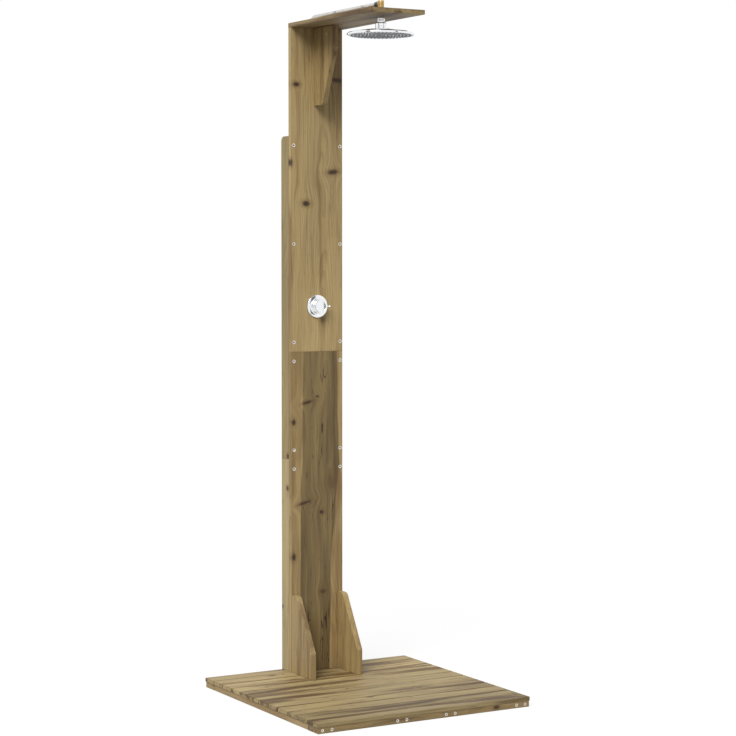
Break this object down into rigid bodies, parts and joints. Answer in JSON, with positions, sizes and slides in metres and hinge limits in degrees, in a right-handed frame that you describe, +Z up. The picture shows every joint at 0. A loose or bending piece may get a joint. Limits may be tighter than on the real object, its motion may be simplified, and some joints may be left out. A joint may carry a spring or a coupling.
{
  "type": "outdoor shower post",
  "caption": "Free-standing timber shower post on a slatted deck, with a concealed valve, a pipe over its roof board and a round rain head on a ball joint.",
  "frame": {"origin": "centre of the deck's underside, on the ground", "axes": "+Z up, +X right along the deck's front edge, +Y towards the back, where the post stands"},
  "size_m": [0.8, 0.812, 2.333],
  "materials": {
    "deck_wood": "oiled timber, brown heartwood and paler sapwood",
    "frame_wood": "sawn timber",
    "post_wood": "planed timber with knots",
    "zinc_steel": "bright zinc plating",
    "pipe_steel": "drawn tube",
    "dark_steel": "blackened",
    "brass": "turned and lightly tarnished",
    "chrome": "polished chrome plating",
    "rubber": "moulded",
    "silicone": "grey silicone",
    "face_grey": "satin grey",
    "grey_plastic": "moulded",
    "seat_plastic": "slippery white plastic",
    "ceramic": "lapped ceramic"
  },
  "bodies": {
    "root": {"deck_plank_01": "deck_wood", "deck_plank_02": "deck_wood", "deck_plank_03": "deck_wood", "deck_plank_04": "deck_wood", "deck_plank_05": "deck_wood", "deck_plank_06": "deck_wood", "deck_plank_07": "deck_wood", "deck_plank_08": "deck_wood", "deck_plank_09": "deck_wood", "deck_plank_10": "deck_wood", "deck_plank_11": "deck_wood", "deck_plank_12": "deck_wood", "front_rail": "frame_wood", "rear_rail": "frame_wood", "joist_left_outer": "frame_wood", "joist_left_inner": "frame_wood", "joist_right_inner": "frame_wood", "joist_right_outer": "frame_wood", "lower_panel": "post_wood", "upper_panel": "post_wood", "left_side_board_lower": "post_wood", "left_side_board_upper": "post_wood", "right_side_board_lower": "post_wood", "right_side_board_upper": "post_wood", "left_guard": "post_wood", "right_guard": "post_wood", "roof_board": "post_wood", "roof_gusset": "post_wood", "rail_screws": "zinc_steel", "small_screws": "zinc_steel", "post_screws": "zinc_steel", "foot_screws": "zinc_steel", "gusset_bolts": "zinc_steel", "gusset_barrel_nuts": "zinc_steel", "pipe_clips": "grey_plastic", "inlet_elbow": "brass", "inlet_pipe": "pipe_steel", "union_nuts": "pipe_steel", "riser_pipe": "pipe_steel", "arm_nut": "dark_steel", "roof_elbow": "brass", "roof_washer": "rubber", "valve_body": "brass", "cartridge": "brass", "fixed_disc": "ceramic", "lock_nut": "brass", "cover_plate": "chrome", "cover_seal": "rubber", "ball_stem": "chrome"},
    "valve_lever": {"knob": "chrome", "lever_pin": "chrome", "grub_screw": "dark_steel", "valve_spindle": "pipe_steel", "turning_disc": "ceramic"},
    "upper_seat": {"upper_seat_ring": "seat_plastic"},
    "lower_seat": {"lower_seat_ring": "seat_plastic"},
    "shower_head": {"head_shell": "chrome", "collar_nut": "chrome", "face_plate": "face_grey", "nozzle_mat": "silicone"}
  },
  "joints": [
    {"name": "valve_turn", "type": "hinge", "parent": "root", "child": "valve_lever", "pos_m": [0, 0.331, 1.315], "axis": [0, 1, 0], "range_deg": [0, 90]},
    {"name": "head_tilt_front", "type": "hinge", "parent": "root", "child": "upper_seat", "pos_m": [0, -0.112, 2.248], "axis": [1, 0, 0], "range_deg": [-12, 12]},
    {"name": "head_tilt_side", "type": "hinge", "parent": "upper_seat", "child": "lower_seat", "pos_m": [0, -0.112, 2.248], "axis": [0, 1, 0], "range_deg": [-12, 12]},
    {"name": "head_turn", "type": "hinge", "parent": "lower_seat", "child": "shower_head", "pos_m": [0, -0.112, 2.248], "axis": [0, 0, 1], "continuous": true}
  ]
}
